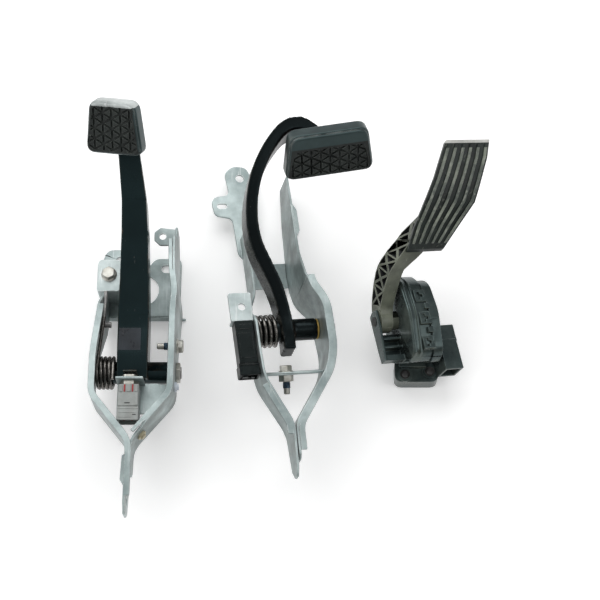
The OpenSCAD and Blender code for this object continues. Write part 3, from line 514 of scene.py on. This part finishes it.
def dress(node, body, finish, width, segments=2, keep_below=0.0):
    """Finished copy of a node, its sharp edges rounded apart from those below a height in millimetres."""
    bm = node_copy(node)
    shortest = 2.6 * width
    edges = [e for e in sharp_edges(bm, SHARP, shortest)
             if max(v.co.z for v in e.verts) >= keep_below * MM]
    rounded(bm, edges, width, segments)
    piece = as_piece(node + "_dressed", bm, body, [finish])
    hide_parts(node)


def soft_bar(node, body, finish, grid=1.1, passes=7):
    """Copy of a bent bar with evenly softened edges."""
    rough = bpy.data.objects.new("bar copy", bpy.data.meshes.new("bar copy"))
    bm = node_copy(node)
    bm.to_mesh(rough.data)
    bm.free()
    even = rough.modifiers.new("even grid", "REMESH")
    even.mode = "VOXEL"
    even.voxel_size = grid * MM
    bpy.context.scene.collection.objects.link(rough)
    settled = rough.evaluated_get(bpy.context.evaluated_depsgraph_get())
    bm = bmesh.new()
    bm.from_mesh(settled.to_mesh())
    settled.to_mesh_clear()
    bpy.data.objects.remove(rough)
    for _ in range(passes):
        bmesh.ops.smooth_vert(bm, verts=bm.verts, factor=0.5,
                              use_axis_x=True, use_axis_y=True, use_axis_z=True)
    piece = as_piece(node + "_dressed", bm, body, [finish], sharp=60)
    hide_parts(node)


def turned_part(profile, steps):
    """Closed profile of radius and height, spun about Z."""
    bm = bmesh.new()
    points = [bm.verts.new((r * MM, 0, z * MM)) for r, z in profile]
    lines = [bm.edges.new(pair) for pair in zip(points, points[1:])]
    bmesh.ops.spin(bm, geom=points + lines, cent=(0, 0, 0), axis=(0, 0, 1), angle=2 * pi, steps=steps,
                   use_merge=True)
    bmesh.ops.remove_doubles(bm, verts=bm.verts, dist=0.001 * MM)
    bmesh.ops.recalc_face_normals(bm, faces=bm.faces)
    return bm


def hex_block(across, z0, z1, chamfer):
    bm = bmesh.new()
    radius = across / 2 / COS_30 * MM
    bmesh.ops.create_cone(bm, cap_ends=True, segments=6, radius1=radius, radius2=radius, depth=(z1 - z0) * MM)
    bmesh.ops.translate(bm, verts=bm.verts, vec=(0, 0, (z0 + z1) / 2 * MM))
    top = [e for e in bm.edges if min(v.co.z for v in e.verts) > z1 * MM - 1e-6]
    rounded(bm, top, chamfer, segments=1)
    rounded(bm, sharp_edges(bm, angle=35, shortest=1.0), width=0.25, segments=2)
    return bm


def gathered(parts):
    """One bmesh of several parts, each with its own material index."""
    whole = bmesh.new()
    for index, part in parts:
        for face in part.faces:
            face.material_index = index
        part_mesh = bpy.data.meshes.new("part")
        part.to_mesh(part_mesh)
        part.free()
        whole.from_mesh(part_mesh)
        bpy.data.meshes.remove(part_mesh)
    return whole


def thread_profile(r, z0, z1, pitch=1.25, depth=0.55):
    profile = [(0.0, z0), (r - depth, z0)]
    z = z0
    while z + pitch < z1:
        profile += [(r, z + pitch * 0.5), (r - depth, z + pitch)]
        z += pitch
    return profile + [(r - depth, z1), (0.0, z1)]


def flange_screw(node, place, d, long, across, locked, tip):
    """Hexagon flange screw: head up from zero, then plain thread, a locked stretch and a bright tip."""
    r = d / 2
    head = hex_block(across, z0=1.0, z1=d * 0.8, chamfer=0.7)
    rim, rim_high = across * 0.66, 0.7
    crown, crown_high = across * 0.52, 1.6
    flange = turned_part([(0, 0), (rim, 0), (rim, rim_high), (crown, crown_high), (0, crown_high)], steps=36)
    plain, bright = -long + locked + tip, -long + tip
    shank = turned_part(thread_profile(r, plain, 0.05), steps=28)
    lock = turned_part(thread_profile(r, bright, bright + locked), steps=28)
    nose, core = r * 0.62, r * 0.78
    end = turned_part([(0, -long), (nose, -long), (core, -long + 0.8), (core, bright), (0, bright)], steps=28)
    bm = gathered([(0, head), (0, flange), (0, shank), (1, lock), (0, end)])
    bmesh.ops.transform(bm, matrix=place, verts=bm.verts)
    piece = as_piece(node + "_dressed", bm, "brackets", [bolt_zinc, thread_lock])
    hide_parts(node)


def wire_spring(node, place, radius, wire, x0, x1, turns, start, first_leg, last_leg, per_turn=36):
    """Torsion spring round X: a spun coil with a leg pulled out of each end."""
    bm = bmesh.new()
    bmesh.ops.create_circle(bm, segments=12, radius=wire / 2 * MM)
    bmesh.ops.translate(bm, verts=bm.verts, vec=(x0 * MM, radius * MM, 0))
    bmesh.ops.rotate(bm, verts=bm.verts, cent=(0, 0, 0), matrix=Matrix.Rotation(radians(start), 3, "X"))
    first = list(bm.edges)
    steps = per_turn * turns
    spun = bmesh.ops.spin(bm, geom=list(bm.verts) + first, cent=(0, 0, 0), axis=(1, 0, 0),
                          angle=2 * pi * turns, steps=steps, dvec=((x1 - x0) / steps * MM, 0, 0))
    last = [e for e in spun["geom_last"] if isinstance(e, bmesh.types.BMEdge)]
    for loop, leg in ((first, first_leg), (last, last_leg)):
        for step in leg:
            pulled = bmesh.ops.extrude_edge_only(bm, edges=loop)["geom"]
            points = [v for v in pulled if isinstance(v, bmesh.types.BMVert)]
            loop = [e for e in pulled if isinstance(e, bmesh.types.BMEdge)
                    and e.verts[0] in points and e.verts[1] in points]
            bmesh.ops.translate(bm, verts=points, vec=Vector(step) * MM)
        bmesh.ops.edgeloop_fill(bm, edges=loop)
    bmesh.ops.recalc_face_normals(bm, faces=bm.faces)
    bmesh.ops.transform(bm, matrix=place, verts=bm.verts)
    piece = as_piece(node + "_dressed", bm, None, [spring_wire], sharp=50)
    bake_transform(piece)
    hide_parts(node)


def dressed_pad(node, body, place, w, h, band, band_finish, taper=6, rim=4.2, smooth_rim=2.6):
    """Rubber pad narrower at its top: soft outer rims, lightly broken groove edges, a smooth upper band."""
    bm = node_copy(node)
    inward = place.inverted()

    def from_side(point):
        """Distance from the pad's outline, in millimetres."""
        x, y, _ = (inward @ point) / MM
        return min(y + h / 2, h / 2 - y, w / 2 - taper * (y + h / 2) / h - abs(x))

    def is_rim(edge):
        return all(from_side(v.co) < rim for v in edge.verts)

    grooves = [e for e in sharp_edges(bm, SHARP, shortest=0.8) if not is_rim(e)]
    rounded(bm, grooves, width=0.3, segments=1)
    rims = [e for e in sharp_edges(bm, SHARP, shortest=0.2) if is_rim(e) and e.is_convex]
    rounded(bm, rims, width=2.0, segments=4)
    turn = inward.to_3x3()
    bmesh.ops.bisect_plane(bm, geom=list(bm.verts) + list(bm.edges) + list(bm.faces), dist=1e-6,
                           plane_co=place @ Vector((0, (h / 2 - band) * MM, 0)),
                           plane_no=(turn.inverted() @ Vector((0, 1, 0))))
    for face in bm.faces:
        middle = face.calc_center_median()
        if (inward @ middle).y > (h / 2 - band) * MM:
            face.material_index = 2
        elif from_side(middle) < smooth_rim:
            face.material_index = 1
    piece = as_piece(node + "_dressed", bm, body, [rubber_pad, rubber_rim, band_finish])
    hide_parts(node)


def small_block(size, centre, width=0.2):
    bm = bmesh.new()
    bmesh.ops.create_cube(bm, size=1.0)
    bmesh.ops.scale(bm, verts=bm.verts, vec=Vector(size) * MM)
    rounded(bm, list(bm.edges), width, segments=2)
    bmesh.ops.translate(bm, verts=bm.verts, vec=Vector(centre) * MM)
    return bm


def trim_of(name, place, body, finishes, blocks):
    """Small raised details of one moulding, each with its finish, size and centre."""
    bm = gathered([(index, small_block(size, centre)) for index, size, centre in blocks])
    bmesh.ops.transform(bm, matrix=place, verts=bm.verts)
    as_piece(name, bm, body, finishes)


# ---- clutch unit ----

for node in ("clutch_left_plate", "clutch_right_plate", "clutch_bulkhead_plate", "clutch_switch_bracket"):
    dress(node, "brackets", zinc_plate, width=0.7)
dress("clutch_screw_seat", "brackets", zinc_tabs_painted_lit, width=1.1, segments=3)
dress("clutch_spring_anchor", "brackets", dark_bolt, width=0.5)
dress("clutch_pivot_bolt", "brackets", dark_bolt, width=0.5)
dress("clutch_pivot_nut", "brackets", bolt_zinc, width=0.4)
dress("clutch_switch_nuts", "brackets", bolt_zinc, width=0.4)
dress("clutch_switch_body", "brackets", switch_grey, width=0.6)
dress("clutch_switch_terminals", "brackets", red_strip, width=0.12)
dress("clutch_side_clip", "brackets", white_nylon, width=0.35)
dress("clutch_tail_clip", "brackets", cream_nylon, width=0.35)
dress("clutch_switch_plunger", "clutch_plunger", cream_nylon, width=0.6)
dress("clutch_arm", "clutch_pedal", black_paint, width=1.1, segments=3)
dress("clutch_bushes", "clutch_pedal", cream_nylon, width=0.3)
dress("clutch_pad_plate", "clutch_pedal", black_paint, width=0.5)
clutch_pad = clutch_unit @ moved(-20, 213.5, 110) @ turned(46, "X") @ turned(-16, "Y")
# the clutch pad's upper band is painted glare
dressed_pad("clutch_pad_rubber", "clutch_pedal", clutch_pad, w=60, h=54, band=4.6,
            band_finish=rubber_lip_painted_glare)
trim_of("clutch_arm_flat", clutch_unit @ turned(3, "X"), "clutch_pedal", [pressed_flat],
        [(0, (22, 23, 0.8), (-4, 29.5, 18.35))])
clutch_switch_blocks = [
    (1, (1.7, 7.6, 0.9), (-5.6, -26.2, 31.0)), (1, (1.7, 7.6, 0.9), (2.2, -26.2, 31.0)),
    (0, (2.4, 7.4, 1.6), (-9.0, -26.2, 31.2)), (0, (4.2, 7.4, 1.6), (-1.7, -26.2, 31.2)),
    (0, (2.6, 7.4, 1.6), (5.6, -26.2, 31.2)), (0, (3.0, 13, 1.4), (5.8, -37.0, 31.2)),
    (2, (1.4, 2.0, 0.7), (5.9, -31.6, 31.1)), (2, (5.2, 1.1, 0.5), (-2.6, -41.2, 31.0)),
    (0, (20.4, 1.0, 0.8), (-2.0, -46.4, 30.1)), (0, (16, 0.8, 0.7), (-2.6, -50.4, 30.1)),
    (0, (12, 0.8, 0.7), (-4.0, -55.0, 30.1)), (2, (3.4, 0.9, 0.5), (4.4, -52.6, 30.0))]
trim_of("clutch_switch_trim", clutch_unit, "brackets",
        [switch_grey, red_strip, slot_painted_shade], clutch_switch_blocks)
flange_screw("clutch_seat_screw", clutch_unit @ moved(-31, 108.5, -6),
             d=8, long=24, across=12, locked=2, tip=4)
flange_screw("clutch_stop_screw", clutch_unit @ moved(41.5, 27, 3) @ turned(90, "Y"),
             d=8, long=20, across=12, locked=7, tip=7)
wire_spring("clutch_return_spring", clutch_unit, radius=15, wire=3.6, x0=-35.9, x1=-19.8,
            turns=4, start=90, first_leg=[(0.6, 6, 0), (1.0, 12, 0.2), (3.3, 36, -0.2)],
            last_leg=[(0, -3, 0.2), (0, -9, 0.7)])

# ---- brake unit ----

for node in ("brake_left_plate", "brake_right_plate", "brake_bridge", "brake_cross_strap"):
    dress(node, "brackets", zinc_plate, width=0.7)
dress("brake_switch_bracket", "brackets", zinc_tabs_painted_lit, width=0.6)
dress("brake_pivot_bolt", "brackets", dark_bolt, width=0.5)
dress("brake_pivot_nut", "brackets", bolt_zinc, width=0.4)
dress("brake_strap_nut", "brackets", bolt_zinc, width=0.4)
dress("brake_switch_body", "brackets", switch_black, width=0.7)
dress("brake_switch_plunger", "brake_plunger", white_nylon, width=0.5)
soft_bar("brake_arm", "brake_pedal", scuffed_paint)
dress("brake_bushes", "brake_pedal", bush_yellow, width=0.3)
dress("brake_pad_plate", "brake_pedal", black_paint, width=0.5)
brake_pad = brake_unit @ moved(41.5, 136, 112) @ turned(62, "X") @ turned(8, "Z")
dressed_pad("brake_pad_rubber", "brake_pedal", brake_pad, w=90, h=50, band=14,
            band_finish=rubber_rim)
trim_of("brake_switch_trim", brake_unit, "brackets", [switch_black], [
    (0, (13.6, 26, 0.9), (-47, -24, 28.1)), (0, (16.6, 5, 0.8), (-47, -4.4, 28.1)),
    (0, (20.2, 1.4, 0.9), (-47, -43.4, 27.3)), (0, (5, 1.6, 4), (-51.5, -54.4, 22)),
    (0, (3.4, 1.4, 3.4), (-43.5, -54.2, 20))])
flange_screw("brake_strap_screw", brake_unit @ moved(-9, -49, 15) @ turned(22 - 90, "X"),
             d=8, long=22, across=11, locked=6, tip=6)
wire_spring("brake_return_spring", brake_unit, radius=15, wire=3.6, x0=-31, x1=-10.3,
            turns=4, start=270, first_leg=[(-1.1, -14, 0), (0, -14, 2)], last_leg=[(0, 10, 0), (0, 12, 4)])

# ---- accelerator unit ----

def from_line(point, line):
    """Distance of a flat point from a line of points."""
    nearest = []
    for start, end in zip(line, line[1:]):
        run = end - start
        share = min(max((point - start).dot(run) / run.length_squared, 0.0), 1.0)
        nearest.append((point - start - share * run).length)
    return min(nearest)


def lattice_arm():
    """Arm with its open lattice, dark inside the pockets."""
    bm = node_copy("accel_arm")
    rounded(bm, sharp_edges(bm, SHARP, shortest=1.3), width=0.4, segments=2)
    inward = accel_unit.inverted()
    turn = inward.to_3x3()
    # outlines of the arm: front and back seen from the side, left edge seen along the arm
    front = [Vector(v) for v in ((10, 14), (21, 27), (32, 42), (40, 57), (52, 70.5), (64, 82), (76, 93))]
    back = [Vector(v) for v in ((20, -4), (38, 10), (51, 24), (58, 38), (66, 51), (78, 65), (90, 77))]
    left = [Vector(v) for v in ((-13.5, 0), (-13.5, 20), (-10, 46), (-7, 60),
                                (-3, 70), (3, 80), (9, 90), (22, 104))]
    wall, rib, first, last, facing = 0.6, 2.0, 18, 104, 0.3
    for face in bm.faces:
        x, y, z = (inward @ face.calc_center_median()) / MM
        along = (y + z) * ROOT_HALF
        inside = min(from_line(Vector((y, z)), front), from_line(Vector((y, z)), back)) > wall
        deep = from_line(Vector((x, along)), left) > rib
        if inside and deep and first < along < last and (turn @ face.normal).x < facing:
            face.material_index = 1
    piece = as_piece("accel_arm_dressed", bm, "accel_pedal", [olive_plastic, pocket_shade])
    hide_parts("accel_arm")


dress("accel_housing", "brackets", housing_plastic, width=0.7, keep_below=20.5)
dress("accel_cover", "brackets", housing_plastic, width=0.7)
dress("accel_sleeves", "brackets", sleeve_steel_with_painted_shade, width=0.4)
dress("accel_shaft", "brackets", sleeve_steel_with_painted_shade, width=0.4)
dress("accel_sensor_board", "brackets", board_green, width=0.2)
dress("accel_terminals", "brackets", bush_yellow, width=0.12)
dress("accel_spring_seat", "brackets", cream_nylon, width=0.5)
dress("accel_magnet", "accel_pedal", magnet_grey, width=0.3)
lattice_arm()
trim_of("accel_cheek_web", accel_unit, "brackets", [housing_plastic],
        [(0, (22, 4.4, 1.8), (-2.6, -14.4, -7.2))])
return_springs = as_piece("accel_return_springs_dressed", node_copy("accel_return_springs"), None,
                          [spring_wire], sharp=50)
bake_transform(return_springs)
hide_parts("accel_return_springs")


def ribbed_tread(margin=4.5, rib_top=5.0):
    """Tread with pale worn ribs, a dark margin above them and a pale upper lip."""
    bm = node_copy("accel_tread")
    rounded(bm, sharp_edges(bm, SHARP, shortest=1.4), width=0.5, segments=2)
    inward = accel_unit.inverted()
    foot, knee, top = Vector((44, 62.5)), Vector((84, 100)), Vector((136, 134))
    lip = Vector((0, *(top - knee).normalized()))
    lip_at = Vector((0, 129.8, 129.9)) * MM
    for cut in (lip_at, lip_at - margin * MM * lip):
        bmesh.ops.bisect_plane(bm, geom=list(bm.verts) + list(bm.edges) + list(bm.faces), dist=1e-6,
                               plane_co=accel_unit @ cut, plane_no=accel_unit.to_3x3() @ lip)
    for face in bm.faces:
        point = inward @ face.calc_center_median()
        _, y, z = point / MM
        a, b = (foot, knee) if y < knee.x else (knee, top)
        run = (b - a).normalized()
        out = (Vector((y, z)) - a).dot(Vector((-run.y, run.x)))
        above = (point - lip_at).dot(lip) / MM
        if above > 0:
            face.material_index = 2
        elif above < -margin and out > rib_top:
            face.material_index = 1
    piece = as_piece("accel_tread_dressed", bm, "accel_pedal",
                     [tread_plastic, tread_rib, tread_lip])
    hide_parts("accel_tread")


ribbed_tread()

# ---- stage, light and camera ----

def straight_ray(tree):
    """One where the camera, a gloss or a clear surface looks at the backdrop."""
    ray = new_node(tree, "ShaderNodeLightPath")
    mirrored = math_in(tree, "MAXIMUM", ray.outputs["Is Glossy Ray"], ray.outputs["Is Transmission Ray"])
    return math_in(tree, "MAXIMUM", ray.outputs["Is Camera Ray"], mirrored)


floor_size, floor_drop, floor_glow = 4.0, 0.0004, 0.3
floor_bm = bmesh.new()
bmesh.ops.create_grid(floor_bm, x_segments=1, y_segments=1, size=floor_size)
bmesh.ops.translate(floor_bm, verts=floor_bm.verts, vec=(0, 0, -floor_drop))
floor_mesh = bpy.data.meshes.new("floor")
floor_bm.to_mesh(floor_mesh)
floor_bm.free()
pale = bpy.data.materials.new("pale floor")
pale.use_nodes = True
pale_tree = pale.node_tree
matt = pale_tree.nodes["Principled BSDF"]
matt.inputs["Base Color"].default_value = (0.95, 0.95, 0.95, 1)
matt.inputs["Roughness"].default_value = 0.9
glow = new_node(pale_tree, "ShaderNodeEmission")
shown = math_in(pale_tree, "MULTIPLY", straight_ray(pale_tree), floor_glow)
pale_tree.links.new(shown, glow.inputs["Strength"])
both = new_node(pale_tree, "ShaderNodeAddShader")
pale_tree.links.new(matt.outputs[0], both.inputs[0])
pale_tree.links.new(glow.outputs[0], both.inputs[1])
pale_tree.links.new(both.outputs[0], pale_tree.nodes["Material Output"].inputs["Surface"])
floor_mesh.materials.append(pale)
floor = bpy.data.objects.new("floor", floor_mesh)
bpy.context.scene.collection.objects.link(floor)

world = bpy.data.worlds.new("studio")
bpy.context.scene.world = world
world.use_nodes = True
sky = world.node_tree
backdrop = sky.nodes["Background"]
backdrop.inputs["Color"].default_value = (1, 1, 1, 1)
height = new_node(sky, "ShaderNodeSeparateXYZ")
sky.links.new(new_node(sky, "ShaderNodeTexCoord").outputs["Generated"], height.inputs[0])
overhead = new_node(sky, "ShaderNodeMapRange")
overhead.inputs["From Min"].default_value = 0.1
overhead.inputs["To Min"].default_value = 0.08
overhead.inputs["To Max"].default_value = 0.55
sky.links.new(height.outputs["Z"], overhead.inputs["Value"])
horizon = math_in(sky, "MULTIPLY", ramp_in(sky, height.outputs["Z"], low=0.3, high=0.0), straight_ray(sky))
sky.links.new(math_in(sky, "MAXIMUM", overhead.outputs["Result"], horizon), backdrop.inputs["Strength"])


def soft_lamp(name, place, target, size, power):
    light = bpy.data.lights.new(name, "AREA")
    light.shape = "RECTANGLE"
    light.size, light.size_y = size
    light.energy = power
    lamp = bpy.data.objects.new(name, light)
    lamp.location = place
    lamp.rotation_euler = (Vector(target) - Vector(place)).to_track_quat("-Z", "Y").to_euler()
    bpy.context.scene.collection.objects.link(lamp)


soft_lamp("key", place=(-0.25, 1.15, 1.45), target=(0, 0.05, 0.05), size=(2.2, 1.2), power=21)
soft_lamp("left_fill", place=(-1.4, -0.5, 1.2), target=(0, 0, 0.05), size=(0.9, 1.2), power=6)
soft_lamp("right_fill", place=(1.4, -0.3, 1.3), target=(0, 0, 0.05), size=(0.9, 1.2), power=6)

lens = bpy.data.cameras.new("camera")
lens.sensor_width = 36
lens.lens = 93
lens.clip_start = 0.05
camera = bpy.data.objects.new("camera", lens)
aim = Vector((12.4, 23.4, 60)) * MM
tilt, away = radians(22), 1.55
camera.location = aim + Matrix.Rotation(tilt, 3, "X") @ Vector((0, 0, away))
camera.rotation_euler = (tilt, 0, 0)
bpy.context.scene.collection.objects.link(camera)
bpy.context.scene.camera = camera
bpy.context.scene.view_settings.view_transform = "Standard"
